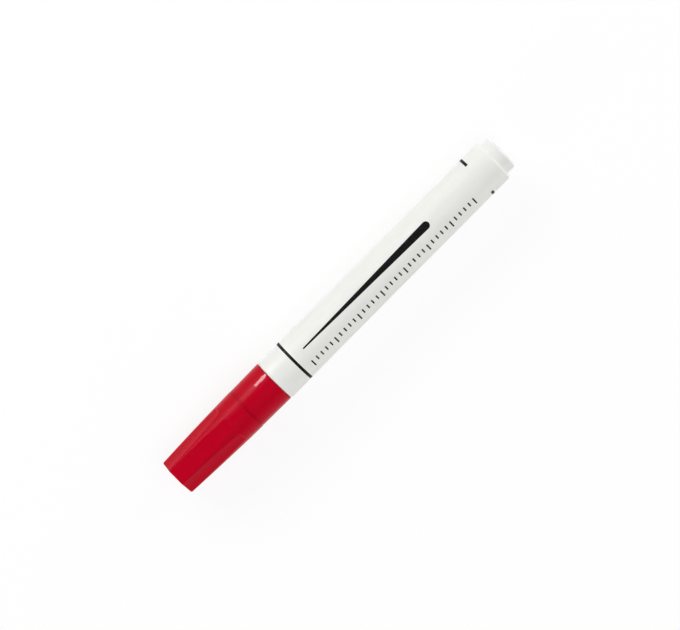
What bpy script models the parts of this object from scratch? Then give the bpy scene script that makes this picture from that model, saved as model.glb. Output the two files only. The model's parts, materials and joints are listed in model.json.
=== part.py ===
"""Valve-action paint marker with a fluted cap, lying on its side, piece by piece.

Metres, +Z up. The pen's axis runs along X, the capped writing end towards -X and the rear plug towards
+X, and the barrel's widest ring touches z = 0. The origin is on the ground under the pen's middle.
All driving dimensions are in millimetres, and x is measured along the axis from the pen's middle.
"""

import math

import bmesh
import bpy
from mathutils import Matrix, Vector

MM = 0.001
SEAM = 0.3  # clearance between neighbouring pieces
SIDES = 32  # flats round most turned pieces
CAP_SIDES = 70  # a multiple of the flutes
MERGE = 1e-6  # metres
SHARP = math.radians(35)

# Whole pen
LENGTH = 142.0
CAP_END = -LENGTH / 2
REAR_END = LENGTH / 2

# Barrel: flares out a little towards the cap
BARREL_FRONT_RADIUS = 7.53
BARREL_BODY_RADIUS = 7.31
BARREL_FLARE_LENGTH = 15.0
BARREL_FLARE_END = 45.0  # past this the flare is too small to see
BARREL_REAR = REAR_END - 3.8
BARREL_BORE_RADIUS = 6.2
BARREL_EDGE_ROUND = 0.45
BARREL_LIP_LENGTH = 1.0
BARREL_RECESS_RADIUS = 6.75  # front recess that takes the front section's flange
BARREL_RECESS_DEPTH = 1.2
AXIS_HEIGHT = BARREL_FRONT_RADIUS

# Cap: plain collar at the mouth, a shallow step, then a swelling taper to the flat closed end
CAP_LENGTH = 42.1
CAP_MOUTH = CAP_END + CAP_LENGTH
CAP_MOUTH_RADIUS = 7.38
CAP_STEP = CAP_END + 29.9
CAP_COLLAR_RADIUS = 7.24
CAP_BODY_RADIUS = 7.30
CAP_TAPER = 0.0126  # radius lost per millimetre behind the step
CAP_SWELL = 0.00058  # and per square millimetre
CAP_EDGE_ROUND = 0.45
CAP_BORE_RADIUS = 6.3
CAP_BORE_END = CAP_END + 27.6
CAP_CAVITY_RADIUS = 5.45
CAP_CAVITY_END_RADIUS = 4.65
CAP_END_WALL = 1.5

# Grip flutes: hollow-ground, wider at the closed end, stopping dead at their inner end
FLUTES = 7
FLUTE_TURN = -5.3  # degrees from straight up to the first flute
FLUTE_INNER_END = CAP_END + 23.85
FLUTE_HOLLOW_RADIUS = 40.0
FLUTE_HALF_ANGLE_INNER = 13.2
FLUTE_HALF_ANGLE_OUTER = 24.8
FLUTE_CUTTER_HALF_ANGLE = 180 / FLUTES - 0.2  # keeps neighbouring cutters apart
FLUTE_CUTTER_OVERRUN = 2.0

# Inner cap: soft liner that closes round the nose
LINER_MOUTH = CAP_END + 26.0
LINER_MOUTH_RADIUS = 4.5
LINER_NECK = CAP_END + 15.0
LINER_NECK_RADIUS = 3.5
LINER_END = CAP_END + 3.6
LINER_END_WALL = 1.0
LINER_END_RADIUS = 3.4

# Front section: nose, neck that the cap grips, flange, and spigot in the barrel
SECTION_TIP = -55.5
SECTION_TIP_RADIUS = 3.1
SECTION_TIP_CHAMFER = 0.3
SECTION_CONE_END = -43.8
SECTION_CONE_RADIUS = 4.15
SECTION_NECK_START = -42.2
SECTION_NECK_RADIUS = 5.85
SECTION_BEAD = -36.0
SECTION_BEAD_RADIUS = 6.0
SECTION_BEAD_HALF_WIDTH = 1.0
SECTION_FLANGE_RADIUS = BARREL_RECESS_RADIUS - SEAM
SECTION_FLANGE_THICKNESS = 0.9
SECTION_SPIGOT_END = -14.0
SECTION_SPIGOT_RADIUS = BARREL_BORE_RADIUS - SEAM
SECTION_SHOULDER = -27.5  # the valve seat sits against it

# Nib
NIB_TIP = -60.5
NIB_RADIUS = 2.15
NIB_DOME_RADIUS = 1.1
NIB_DOME_EDGE = 112  # degrees, where the dome runs into the cone
NIB_CONE_LENGTH = 2.6
NIB_REAR = -31.5

# Valve
SEAT_THICKNESS = 2.0
SEAT_HOLE_RADIUS = 1.7
STEM_PIN_RADIUS = 1.3
STEM_CONE_START = -26.2
STEM_HEAD_RADIUS = 2.8
STEM_HEAD_REAR = -23.2
STEM_ROD_RADIUS = 1.1
STEM_ROD_END = -6.5
CAGE_RADIUS = 4.3
CAGE_BORE_RADIUS = 3.4
CAGE_REAR = -7.6
CAGE_REAR_WALL = 1.6
CAGE_FLANGE_RADIUS = 5.2
CAGE_FLANGE_THICKNESS = 1.2
CAGE_WINDOWS = 4
CAGE_WINDOW_WIDTH = 2.2
CAGE_WINDOW_LENGTH = 2.2
VALVE_BORE_RADIUS = CAGE_RADIUS + SEAM
SPRING_RADIUS = 2.2  # to the middle of the wire
SPRING_WIRE_RADIUS = 0.25
SPRING_CURLS = 6.5
SPRING_POINTS_PER_CURL = 10

# Rear plug
PLUG_RADIUS = BARREL_BORE_RADIUS - SEAM
PLUG_FRONT = 56.0
PLUG_CAVITY_RADIUS = 4.5
PLUG_END_WALL = 1.6
PLUG_EDGE_ROUND = 0.7
PLUG_CHAMFER = 0.5

# Mixing ball, low in the barrel
BALL_RADIUS = 3.0
BALL_X = 24.0
BALL_DROP = BARREL_BORE_RADIUS - BALL_RADIUS - SEAM


def clear_scene():
    """Remove every object in the scene."""
    for thing in list(bpy.data.objects):
        bpy.data.objects.remove(thing, do_unlink=True)


def plain_material(name, colour, roughness, metallic=0.0):
    """One Principled material."""
    finish = bpy.data.materials.new(name)
    finish.use_nodes = True
    shader = finish.node_tree.nodes["Principled BSDF"]
    shader.inputs["Base Color"].default_value = (*colour, 1.0)
    shader.inputs["Roughness"].default_value = roughness
    shader.inputs["Metallic"].default_value = metallic
    return finish


def guide_empty(name, parent=None):
    """An empty on the pen's axis that carries pieces."""
    empty = bpy.data.objects.new(name, None)
    bpy.context.collection.objects.link(empty)
    empty.parent = parent
    if parent is None:
        empty.location.z = AXIS_HEIGHT * MM
    return empty


def add_object(name, shape, parent, finish=None):
    """Put a finished bmesh into the scene as a smooth-shaded object."""
    mesh = bpy.data.meshes.new(name)
    shape.to_mesh(mesh)
    shape.free()
    mesh.shade_smooth()
    mesh.set_sharp_from_angle(angle=SHARP)
    thing = bpy.data.objects.new(name, mesh)
    bpy.context.collection.objects.link(thing)
    thing.parent = parent
    if finish:
        mesh.materials.append(finish)
    return thing


def arc(centre_x, centre_radius, length, height, start, end, steps):
    """Points on a quarter round or its like, as (x, radius), from start to end in degrees."""
    points = []
    for step in range(steps + 1):
        angle = math.radians(start + (end - start) * step / steps)
        points.append((centre_x + length * math.cos(angle), centre_radius + height * math.sin(angle)))
    return points


def turned(name, outline, parent, finish, sides=SIDES):
    """Turn a half-section of (x, radius) points about the axis; the flats touch the true radius."""
    shape = bmesh.new()
    half_step = math.pi / sides
    outward = Vector((0, math.tan(half_step), 1)) * MM
    points = [shape.verts.new(Vector((x * MM, 0, 0)) + outward * radius) for x, radius in outline]
    followers = points[1:]
    if outline[0][1] > 0:
        followers.append(points[0])
    edges = [shape.edges.new(pair) for pair in zip(points, followers)]
    bmesh.ops.spin(shape, geom=points + edges, cent=(0, 0, 0), axis=(1, 0, 0), angle=math.tau, steps=sides)
    bmesh.ops.remove_doubles(shape, verts=shape.verts, dist=MERGE)
    bmesh.ops.recalc_face_normals(shape, faces=shape.faces)
    return add_object(name, shape, parent, finish)


def cut_with(thing, cutter):
    """Subtract a hidden cutter from an object."""
    cutter.hide_render = True
    cutter.display_type = "WIRE"
    cut = thing.modifiers.new(cutter.name, "BOOLEAN")
    cut.operation = "DIFFERENCE"
    cut.object = cutter


def cap_radius(x):
    """Radius of the cap's tapering body, flutes apart, at x."""
    behind = CAP_STEP - x
    return CAP_BODY_RADIUS - CAP_TAPER * behind - CAP_SWELL * behind ** 2


def add_cap(parent, finish):
    """Outer cap: a cup turned about the axis, with the grip flutes cut into it."""
    edge_x = CAP_END + CAP_EDGE_ROUND
    edge_radius = cap_radius(edge_x)
    body_steps = 6
    outline = [
        (CAP_END + CAP_END_WALL, 0),
        (CAP_END + CAP_END_WALL, CAP_CAVITY_END_RADIUS),
        (CAP_BORE_END, CAP_CAVITY_RADIUS),
        (CAP_BORE_END, CAP_BORE_RADIUS),
        (CAP_MOUTH, CAP_BORE_RADIUS),
        (CAP_MOUTH, CAP_MOUTH_RADIUS),
        (CAP_STEP, CAP_COLLAR_RADIUS),
    ]
    for step in range(body_steps):
        x = CAP_STEP + (edge_x - CAP_STEP) * step / body_steps
        outline.append((x, cap_radius(x)))
    outline += arc(edge_x, edge_radius - CAP_EDGE_ROUND, CAP_EDGE_ROUND, CAP_EDGE_ROUND, 90, 180, 3)
    outline.append((CAP_END, 0))
    cap = turned("cap", outline, parent, finish, CAP_SIDES)
    cut_with(cap, add_flute_cutter(parent))


def add_flute_cutter(parent):
    """Wedges with a rounded underside, one for each grip flute."""
    shape = bmesh.new()
    across_steps = 8
    top = CAP_MOUTH_RADIUS + FLUTE_CUTTER_OVERRUN
    spread = math.tan(math.radians(FLUTE_CUTTER_HALF_ANGLE))
    outer_end = CAP_END + CAP_EDGE_ROUND
    distances = []
    for x, half_angle in ((FLUTE_INNER_END, FLUTE_HALF_ANGLE_INNER), (outer_end, FLUTE_HALF_ANGLE_OUTER)):
        angle = math.radians(half_angle)
        edge = cap_radius(x) * math.sin(angle)
        distances.append(cap_radius(x) * math.cos(angle) + math.sqrt(FLUTE_HOLLOW_RADIUS ** 2 - edge ** 2))
    slope = (distances[1] - distances[0]) / (outer_end - FLUTE_INNER_END)
    for number in range(FLUTES):
        turn = Matrix.Rotation(math.radians(FLUTE_TURN + number * 360 / FLUTES), 3, "X")
        edges = []
        for x in (FLUTE_INNER_END, CAP_END - FLUTE_CUTTER_OVERRUN):
            distance = distances[0] + slope * (x - FLUTE_INNER_END)
            section = [Vector((x, top * spread, top)), Vector((x, -top * spread, top))]
            half_width = (distance - FLUTE_HOLLOW_RADIUS) * spread
            for step in range(across_steps + 1):
                y = half_width * (2 * step / across_steps - 1)
                section.append(Vector((x, y, distance - math.sqrt(FLUTE_HOLLOW_RADIUS ** 2 - y ** 2))))
            end_face = shape.faces.new([shape.verts.new(turn @ point * MM) for point in section])
            edges += end_face.edges
        bmesh.ops.bridge_loops(shape, edges=edges)
    bmesh.ops.recalc_face_normals(shape, faces=shape.faces)
    return add_object("flute_cutter", shape, parent)


def add_inner_cap(parent, finish):
    """Soft liner: a cup that follows the cap's cavity outside and clears the nose inside."""
    cavity_start = CAP_END + CAP_END_WALL
    cavity_slope = (CAP_CAVITY_RADIUS - CAP_CAVITY_END_RADIUS) / (CAP_BORE_END - cavity_start)

    def outside(x):
        return CAP_CAVITY_END_RADIUS + cavity_slope * (x - cavity_start) - SEAM

    turned("inner_cap", [
        (LINER_END + LINER_END_WALL, 0),
        (LINER_END + LINER_END_WALL, LINER_END_RADIUS),
        (LINER_NECK, LINER_NECK_RADIUS),
        (LINER_MOUTH, LINER_MOUTH_RADIUS),
        (LINER_MOUTH, outside(LINER_MOUTH)),
        (LINER_END, outside(LINER_END)),
        (LINER_END, 0),
    ], parent, finish)


def barrel_radius(x):
    """Radius of the barrel's outside: steady at the rear, flaring towards the cap."""
    flare = BARREL_FRONT_RADIUS - BARREL_BODY_RADIUS
    return BARREL_BODY_RADIUS + flare * math.exp((CAP_MOUTH + SEAM - x) / BARREL_FLARE_LENGTH)


def add_barrel(parent, finish):
    """Paint barrel: an open tube with a front recess and a rounded rear lip."""
    front = CAP_MOUTH + SEAM
    edge_x = front + BARREL_EDGE_ROUND
    flare_steps = 6
    lip_height = barrel_radius(BARREL_REAR) - BARREL_BORE_RADIUS
    outline = [
        (front + BARREL_RECESS_DEPTH, BARREL_BORE_RADIUS),
        (front + BARREL_RECESS_DEPTH, BARREL_RECESS_RADIUS),
        (front, BARREL_RECESS_RADIUS),
    ]
    edge_radius = BARREL_FRONT_RADIUS - BARREL_EDGE_ROUND
    outline += arc(edge_x, edge_radius, BARREL_EDGE_ROUND, BARREL_EDGE_ROUND, 180, 90, 3)
    for step in range(1, flare_steps + 1):
        x = edge_x + BARREL_FLARE_END * step / flare_steps
        outline.append((x, barrel_radius(x)))
    lip_x = BARREL_REAR - BARREL_LIP_LENGTH
    outline += arc(lip_x, BARREL_BORE_RADIUS, BARREL_LIP_LENGTH, lip_height, 90, 0, 5)
    turned("barrel", outline, parent, finish)


def add_rear_plug(parent, finish):
    """Plug that closes the barrel: a cup open towards the paint, with a rounded end that stands out."""
    edge_x = REAR_END - PLUG_EDGE_ROUND
    outline = [
        (REAR_END - PLUG_END_WALL, 0),
        (REAR_END - PLUG_END_WALL, PLUG_CAVITY_RADIUS),
        (PLUG_FRONT, PLUG_CAVITY_RADIUS),
        (PLUG_FRONT, PLUG_RADIUS - PLUG_CHAMFER),
        (PLUG_FRONT + PLUG_CHAMFER, PLUG_RADIUS),
    ]
    outline += arc(edge_x, PLUG_RADIUS - PLUG_EDGE_ROUND, PLUG_EDGE_ROUND, PLUG_EDGE_ROUND, 90, 0, 4)
    outline.append((REAR_END, 0))
    turned("rear_plug", outline, parent, finish)


def add_front_section(parent, finish):
    """Nose piece: bored through for the nib, counterbored from behind for the valve."""
    flange_front = CAP_MOUTH + SEAM
    flange_rear = flange_front + SECTION_FLANGE_THICKNESS
    nib_bore = NIB_RADIUS + SEAM
    bead_slope = SECTION_BEAD_RADIUS - SECTION_NECK_RADIUS
    turned("front_section", [
        (SECTION_TIP, nib_bore),
        (SECTION_TIP, SECTION_TIP_RADIUS - SECTION_TIP_CHAMFER),
        (SECTION_TIP + SECTION_TIP_CHAMFER, SECTION_TIP_RADIUS),
        (SECTION_CONE_END, SECTION_CONE_RADIUS),
        (SECTION_NECK_START, SECTION_NECK_RADIUS),
        (SECTION_BEAD - SECTION_BEAD_HALF_WIDTH, SECTION_NECK_RADIUS),
        (SECTION_BEAD - SECTION_BEAD_HALF_WIDTH + bead_slope, SECTION_BEAD_RADIUS),
        (SECTION_BEAD + SECTION_BEAD_HALF_WIDTH - bead_slope, SECTION_BEAD_RADIUS),
        (SECTION_BEAD + SECTION_BEAD_HALF_WIDTH, SECTION_NECK_RADIUS),
        (flange_front, SECTION_NECK_RADIUS),
        (flange_front, SECTION_FLANGE_RADIUS),
        (flange_rear, SECTION_FLANGE_RADIUS),
        (flange_rear, SECTION_SPIGOT_RADIUS),
        (SECTION_SPIGOT_END, SECTION_SPIGOT_RADIUS),
        (SECTION_SPIGOT_END, VALVE_BORE_RADIUS),
        (SECTION_SHOULDER, VALVE_BORE_RADIUS),
        (SECTION_SHOULDER, nib_bore),
    ], parent, finish)


def add_nib(parent, finish):
    """Round felt rod with a bullet tip."""
    dome_x = NIB_TIP + NIB_DOME_RADIUS
    outline = arc(dome_x, 0, NIB_DOME_RADIUS, NIB_DOME_RADIUS, 180, NIB_DOME_EDGE, 4)
    outline[0] = (NIB_TIP, 0)
    outline += [(NIB_TIP + NIB_CONE_LENGTH, NIB_RADIUS), (NIB_REAR, NIB_RADIUS), (NIB_REAR, 0)]
    turned("nib", outline, parent, finish)


def add_valve_seat(parent, finish):
    """Soft ring against the front section's shoulder, coned to match the stem."""
    front = SECTION_SHOULDER + SEAM
    rear = front + SEAT_THICKNESS
    cone_start = STEM_CONE_START - SEAM * math.sqrt(2) + SEAT_HOLE_RADIUS - STEM_PIN_RADIUS
    turned("valve_seat", [
        (front, SEAT_HOLE_RADIUS),
        (front, CAGE_RADIUS),
        (rear, CAGE_RADIUS),
        (rear, SEAT_HOLE_RADIUS + rear - cone_start),
        (cone_start, SEAT_HOLE_RADIUS),
    ], parent, finish)


def add_valve_stem(parent, finish):
    """Plunger: a pin behind the nib, the closing cone, and a guide rod through the spring."""
    cone_end = STEM_CONE_START + STEM_HEAD_RADIUS - STEM_PIN_RADIUS
    turned("valve_stem", [
        (NIB_REAR + SEAM, 0),
        (NIB_REAR + SEAM, STEM_PIN_RADIUS),
        (STEM_CONE_START, STEM_PIN_RADIUS),
        (cone_end, STEM_HEAD_RADIUS),
        (STEM_HEAD_REAR, STEM_HEAD_RADIUS),
        (STEM_HEAD_REAR, STEM_ROD_RADIUS),
        (STEM_ROD_END, STEM_ROD_RADIUS),
        (STEM_ROD_END, 0),
    ], parent, finish)


def add_valve_cage(parent, finish):
    """Cup that holds the spring: open at the front, windows in its wall, a guide hole in its end."""
    front = SECTION_SHOULDER + SEAM + SEAT_THICKNESS + SEAM
    flange_front = SECTION_SPIGOT_END + SEAM
    flange_rear = flange_front + CAGE_FLANGE_THICKNESS
    guide_radius = STEM_ROD_RADIUS + SEAM
    cage = turned("valve_cage", [
        (front, CAGE_BORE_RADIUS),
        (front, CAGE_RADIUS),
        (flange_front, CAGE_RADIUS),
        (flange_front, CAGE_FLANGE_RADIUS),
        (flange_rear, CAGE_FLANGE_RADIUS),
        (flange_rear, CAGE_RADIUS),
        (CAGE_REAR, CAGE_RADIUS),
        (CAGE_REAR, guide_radius),
        (CAGE_REAR - CAGE_REAR_WALL, guide_radius),
        (CAGE_REAR - CAGE_REAR_WALL, CAGE_BORE_RADIUS),
    ], parent, finish)
    shape = bmesh.new()
    window_x = (flange_rear + CAGE_REAR - CAGE_REAR_WALL) / 2
    wall_middle = (CAGE_RADIUS + CAGE_BORE_RADIUS) / 2
    size = Vector((CAGE_WINDOW_LENGTH, CAGE_WINDOW_WIDTH, 2 * (CAGE_RADIUS - CAGE_BORE_RADIUS))) * MM
    for number in range(CAGE_WINDOWS):
        turn = Matrix.Rotation(math.tau * number / CAGE_WINDOWS, 4, "X")
        place = Matrix.Translation(Vector((window_x, 0, wall_middle)) * MM) @ Matrix.Diagonal((*size, 1))
        bmesh.ops.create_cube(shape, size=1, matrix=turn @ place)
    cut_with(cage, add_object("window_cutter", shape, parent))


def add_valve_spring(parent, finish):
    """Coil spring from the stem's head to the cage's end wall, as one unbroken wire."""
    start = STEM_HEAD_REAR + SEAM + SPRING_WIRE_RADIUS
    end = CAGE_REAR - CAGE_REAR_WALL - SEAM - SPRING_WIRE_RADIUS
    steps = round(SPRING_CURLS * SPRING_POINTS_PER_CURL)
    points = []
    for step in range(steps + 1):
        angle = math.tau * step / SPRING_POINTS_PER_CURL
        x = start + (end - start) * step / steps
        points.append(Vector((x, SPRING_RADIUS * math.sin(angle), SPRING_RADIUS * math.cos(angle))))
    wire = bpy.data.curves.new("valve_spring", "CURVE")
    wire.dimensions = "3D"
    wire.bevel_depth = SPRING_WIRE_RADIUS * MM
    wire.bevel_resolution = 1
    wire.use_fill_caps = True
    spline = wire.splines.new("POLY")
    spline.points.add(steps)
    for knot, point in zip(spline.points, points):
        knot.co = (*(point * MM), 1)
    spring = bpy.data.objects.new("valve_spring", wire)
    bpy.context.collection.objects.link(spring)
    spring.parent = parent
    wire.materials.append(finish)
    half_curl = SPRING_POINTS_PER_CURL // 2
    spans = [(a - b).length for i, a in enumerate(points) for b in points[i + half_curl:]]
    print(f"valve_spring: least gap between curls {min(spans) - 2 * SPRING_WIRE_RADIUS:.2f} mm")


def add_mixing_ball(parent, finish):
    """Steel ball lying low in the barrel."""
    shape = bmesh.new()
    bmesh.ops.create_uvsphere(shape, u_segments=20, v_segments=12, radius=BALL_RADIUS * MM)
    ball = add_object("mixing_ball", shape, parent, finish)
    ball.location = Vector((BALL_X, 0, -BALL_DROP)) * MM


def main():
    """Build every piece, each group under the empty that its motion follows."""
    clear_scene()
    axis = guide_empty("marker_axis")
    cap_slide = guide_empty("cap_slide", axis)
    nib_slide = guide_empty("nib_slide", axis)
    ball_slide = guide_empty("ball_slide", axis)

    red = plain_material("red_cap_plastic", (0.47, 0.005, 0.018), 0.38)
    white = plain_material("white_barrel_plastic", (0.80, 0.80, 0.78), 0.4)
    cool_white = plain_material("white_plug_plastic", (0.80, 0.80, 0.79), 0.42)
    liner = plain_material("soft_liner_plastic", (0.72, 0.72, 0.68), 0.5)
    felt = plain_material("nib_felt", (0.78, 0.74, 0.66), 0.95)
    rubber = plain_material("seat_rubber", (0.03, 0.03, 0.03), 0.7)
    natural = plain_material("valve_plastic", (0.62, 0.62, 0.58), 0.45)
    steel = plain_material("spring_steel", (0.55, 0.55, 0.54), 0.3, 1.0)
    ball_steel = plain_material("ball_steel", (0.62, 0.62, 0.62), 0.15, 1.0)

    add_cap(cap_slide, red)
    add_inner_cap(cap_slide, liner)
    add_barrel(axis, white)
    add_rear_plug(axis, cool_white)
    add_front_section(axis, cool_white)
    add_nib(nib_slide, felt)
    add_valve_seat(axis, rubber)
    add_valve_stem(nib_slide, natural)
    add_valve_cage(axis, natural)
    add_valve_spring(axis, steel)
    add_mixing_ball(ball_slide, ball_steel)


main()
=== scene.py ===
import json
import math

import bpy
from bpy.props import FloatProperty, FloatVectorProperty, IntProperty, PointerProperty
from mathutils import Matrix, Vector


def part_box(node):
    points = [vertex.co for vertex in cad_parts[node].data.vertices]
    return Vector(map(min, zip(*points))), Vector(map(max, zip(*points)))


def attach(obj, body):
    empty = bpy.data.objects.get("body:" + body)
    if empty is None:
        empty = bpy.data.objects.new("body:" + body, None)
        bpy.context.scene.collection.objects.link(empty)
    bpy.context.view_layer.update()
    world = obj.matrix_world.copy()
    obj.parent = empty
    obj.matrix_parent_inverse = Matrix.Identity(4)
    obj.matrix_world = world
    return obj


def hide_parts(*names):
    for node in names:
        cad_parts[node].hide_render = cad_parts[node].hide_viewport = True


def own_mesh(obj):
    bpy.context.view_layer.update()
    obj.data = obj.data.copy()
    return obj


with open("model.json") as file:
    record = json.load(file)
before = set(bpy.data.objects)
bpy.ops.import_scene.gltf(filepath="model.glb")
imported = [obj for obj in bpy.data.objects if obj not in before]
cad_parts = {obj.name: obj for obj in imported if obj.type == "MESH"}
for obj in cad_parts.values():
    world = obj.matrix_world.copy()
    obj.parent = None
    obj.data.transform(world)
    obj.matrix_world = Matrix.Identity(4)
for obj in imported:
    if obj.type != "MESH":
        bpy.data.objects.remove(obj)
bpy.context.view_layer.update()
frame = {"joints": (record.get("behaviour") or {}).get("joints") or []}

bl_info = {
    "name": "Paint Marker",
    "version": (1, 0, 0),
    "blender": (4, 5, 0),
    "location": "View3D > Sidebar > Marker",
    "description": "Finished look of a valve-action paint marker with a fluted cap",
    "category": "Object",
}

MM = 0.001
MERGE = 1e-7
SMOOTH_ANGLE = math.radians(28)
SIDES = 192
CAP_SIDES = 364
CORNER_STEPS = 5
NOISE_MIDDLE = 0.5

# Edge rounds that many pieces share
CRISP = 0.1 * MM
FINE = CRISP / 2
EASED = 0.2 * MM
SOFT = 0.4 * MM


def ends(node):
    """Where a CAD node starts and ends along the pen, and its largest radius."""
    low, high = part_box(node)
    return low.x, high.x, (high.y - low.y) / 2


AXIS_Z = sum(corner.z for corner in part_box("barrel")) / 2
AXIS = Vector((0, 0, AXIS_Z))
CAP_END, CAP_MOUTH, _ = ends("cap")
LINER_END, LINER_MOUTH, LINER_RADIUS = ends("inner_cap")
BARREL_FRONT, BARREL_REAR, BARREL_RADIUS = ends("barrel")
PLUG_FRONT, PLUG_END, PLUG_RADIUS = ends("rear_plug")
SECTION_TIP, SECTION_END, FLANGE_RADIUS = ends("front_section")
NIB_TIP, NIB_REAR, NIB_RADIUS = ends("nib")
SEAT_FRONT, SEAT_REAR, SEAT_RADIUS = ends("valve_seat")
STEM_FRONT, STEM_END, STEM_HEAD_RADIUS = ends("valve_stem")
CAGE_FRONT, CAGE_REAR, CAGE_FLANGE_RADIUS = ends("valve_cage")
SPRING_START, SPRING_END, _ = ends("valve_spring")
BALL_LOW, BALL_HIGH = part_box("mixing_ball")
NIB_TRAVEL = next(joint["range_m"][1] for joint in frame["joints"] if joint["name"] == "nib_press")


def length(name, millimetres, description):
    """A size, given here in millimetres, that a user may change."""
    return FloatProperty(name=name, default=millimetres * MM, description=description,
                         unit="LENGTH", precision=5)


def turn(name, degrees, description):
    """An angle, given here in degrees, that a user may change."""
    return FloatProperty(name=name, default=math.radians(degrees), description=description,
                         subtype="ANGLE")


def colour(name, default, description):
    """A colour that a user may change."""
    return FloatVectorProperty(name=name, default=default, description=description, subtype="COLOR",
                               size=3, min=0, max=1)


class CapSizes(bpy.types.PropertyGroup):
    """Shape of the cap and of its liner."""
    mouth_gap: length("Mouth gap", 0.12, "Gap between cap and barrel")
    end_wall: length("End wall", 1.5, "Thickness of the closed end")
    bore_radius: length("Bore radius", 6.3, "Radius inside the plain collar")
    bore_depth: length("Bore depth", 14.5, "Depth of the wide bore from the mouth")
    cavity_radius: length("Cavity radius", 5.45, "Radius of the cavity at its mouth")
    cavity_end_radius: length("Cavity end radius", 4.65, "Radius of the cavity at its end")
    step_from_end: length("Step", 30.1, "Place of the step from the closed end")
    step_height: length("Step height", 0.08, "Rise of the body above the collar")
    groove: length("Groove", 0.16, "Width and depth of the groove at the step")
    # Reach of the painted shade along the collar, from the step towards the mouth.
    dust_and_shade_width: length("Shading", 1.9, "Reach of the dust along the collar")
    mouth_radius: length("Mouth radius", 7.42, "Radius of the cap at its mouth")
    collar_radius: length("Collar radius", 7.27, "Radius of the collar at the step")
    taper: FloatProperty(name="Taper", default=0.0118, description="Radius lost per length past the step")
    swell: FloatProperty(name="Swell", default=0.58, description="Radius lost per length squared")
    edge_round: length("Edge round", 0.5, "Rounding of the closed end")
    gate_radius: length("Gate radius", 1.0, "Radius of the dimple in the closed end")
    gate_depth: length("Gate depth", 0.15, "Depth of the moulding dimple")
    flutes: IntProperty(name="Flutes", default=7, description="Number of grip flutes")
    flute_turn: turn("Flute turn", -5.3, "Angle of a flute from straight up")
    flute_length: length("Flute length", 23.85, "Length of the flutes from the closed end")
    flute_hollow: length("Flute hollow", 26.0, "Radius of the flutes' hollow")
    flute_inner_half: turn("Inner half width", 13.2, "Half the flute's width at its inner end")
    flute_outer_half: turn("Outer half width", 23.8, "Half the flute's width at the closed end")
    flute_edge: length("Flute edge", 0.14, "How soft the flutes' long edges are")
    flute_ramp: length("Flute ramp", 0.5, "Length of the flutes' inner slope")
    liner_wall: length("Liner wall", 1.0, "Thickness of the liner's closed end")
    liner_mouth_radius: length("Liner mouth", 4.5, "Radius of the liner's mouth")
    liner_neck_radius: length("Liner neck", 3.5, "Radius where the liner closes on the nose")
    liner_neck_depth: length("Liner neck depth", 11.0, "Depth of the neck in the liner")
    liner_end_radius: length("Liner end", 3.4, "Radius inside the liner's closed end")


class BarrelSizes(bpy.types.PropertyGroup):
    """Shape of the barrel and of the plug in its rear end."""
    body_radius: length("Body radius", 7.31, "Radius of the barrel away from the cap")
    flare_length: length("Flare length", 15.0, "Length over which the flare fades")
    bore_radius: length("Bore radius", 6.2, "Radius of the paint chamber")
    recess_radius: length("Recess radius", 6.75, "Radius of the front recess")
    recess_depth: length("Recess depth", 1.2, "Depth of the front recess")
    front_length: length("Front round length", 0.9, "Length of the front edge's round")
    front_height: length("Front round height", 0.4, "Height of the front edge's round")
    lip_length: length("Lip length", 1.0, "Length of the rounded rear lip")
    plug_gap: length("Plug gap", 0.04, "Gap between the rear lip and the plug")
    plug_cavity_radius: length("Plug cavity", 4.5, "Radius of the hollow in the plug")
    plug_wall: length("Plug wall", 1.6, "Thickness of the plug's end")
    plug_dome: length("Plug dome", 0.9, "Length of the plug end's round")
    plug_round: length("Plug round", 2.6, "Width of the plug end's round")
    plug_chamfer: length("Plug chamfer", 0.5, "Lead-in at the plug's inner end")
    gate_radius: length("Gate radius", 1.1, "Radius of the dimple in the plug's end")
    gate_depth: length("Gate depth", 0.12, "Depth of the moulding dimple")


class SectionSizes(bpy.types.PropertyGroup):
    """Shape of the front section and of the nib."""
    tip_radius: length("Tip radius", 3.1, "Radius of the nose at its tip")
    tip_round: length("Tip round", 0.3, "Rounding of the nose's tip")
    cone_end: length("Cone end", -43.8, "Where the nose meets the shoulder")
    cone_radius: length("Cone radius", 4.15, "Radius of the nose at the shoulder")
    cone_round: length("Cone round", 0.8, "Rounding at the nose's rear")
    neck_start: length("Neck start", -42.2, "Where the neck starts")
    neck_radius: length("Neck radius", 5.85, "Radius of the neck in the cap")
    bead_middle: length("Bead", -36.0, "Where the snap bead lies")
    bead_radius: length("Bead radius", 6.0, "Radius of the snap bead")
    bead_half_width: length("Bead half width", 1.0, "Half the snap bead's width")
    flange_thickness: length("Flange", 0.9, "Thickness of the flange")
    spigot_radius: length("Spigot radius", 5.9, "Radius of the part inside the barrel")
    valve_bore_radius: length("Valve bore", 4.6, "Radius of the valve's bore")
    shoulder: length("Shoulder", -27.5, "Where the valve seat sits")
    nib_bore_radius: length("Nib bore", 2.45, "Radius of the nib's bore")
    nib_dome_radius: length("Nib dome", 1.1, "Radius of the nib's rounded tip")
    nib_dome_edge: turn("Nib dome edge", 68, "Angle where the dome meets the cone")
    nib_cone_length: length("Nib cone", 2.6, "Length of the nib's shaped tip")
    nib_cone_round: length("Nib cone round", 0.6, "Rounding where the cone meets the rod")


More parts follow.
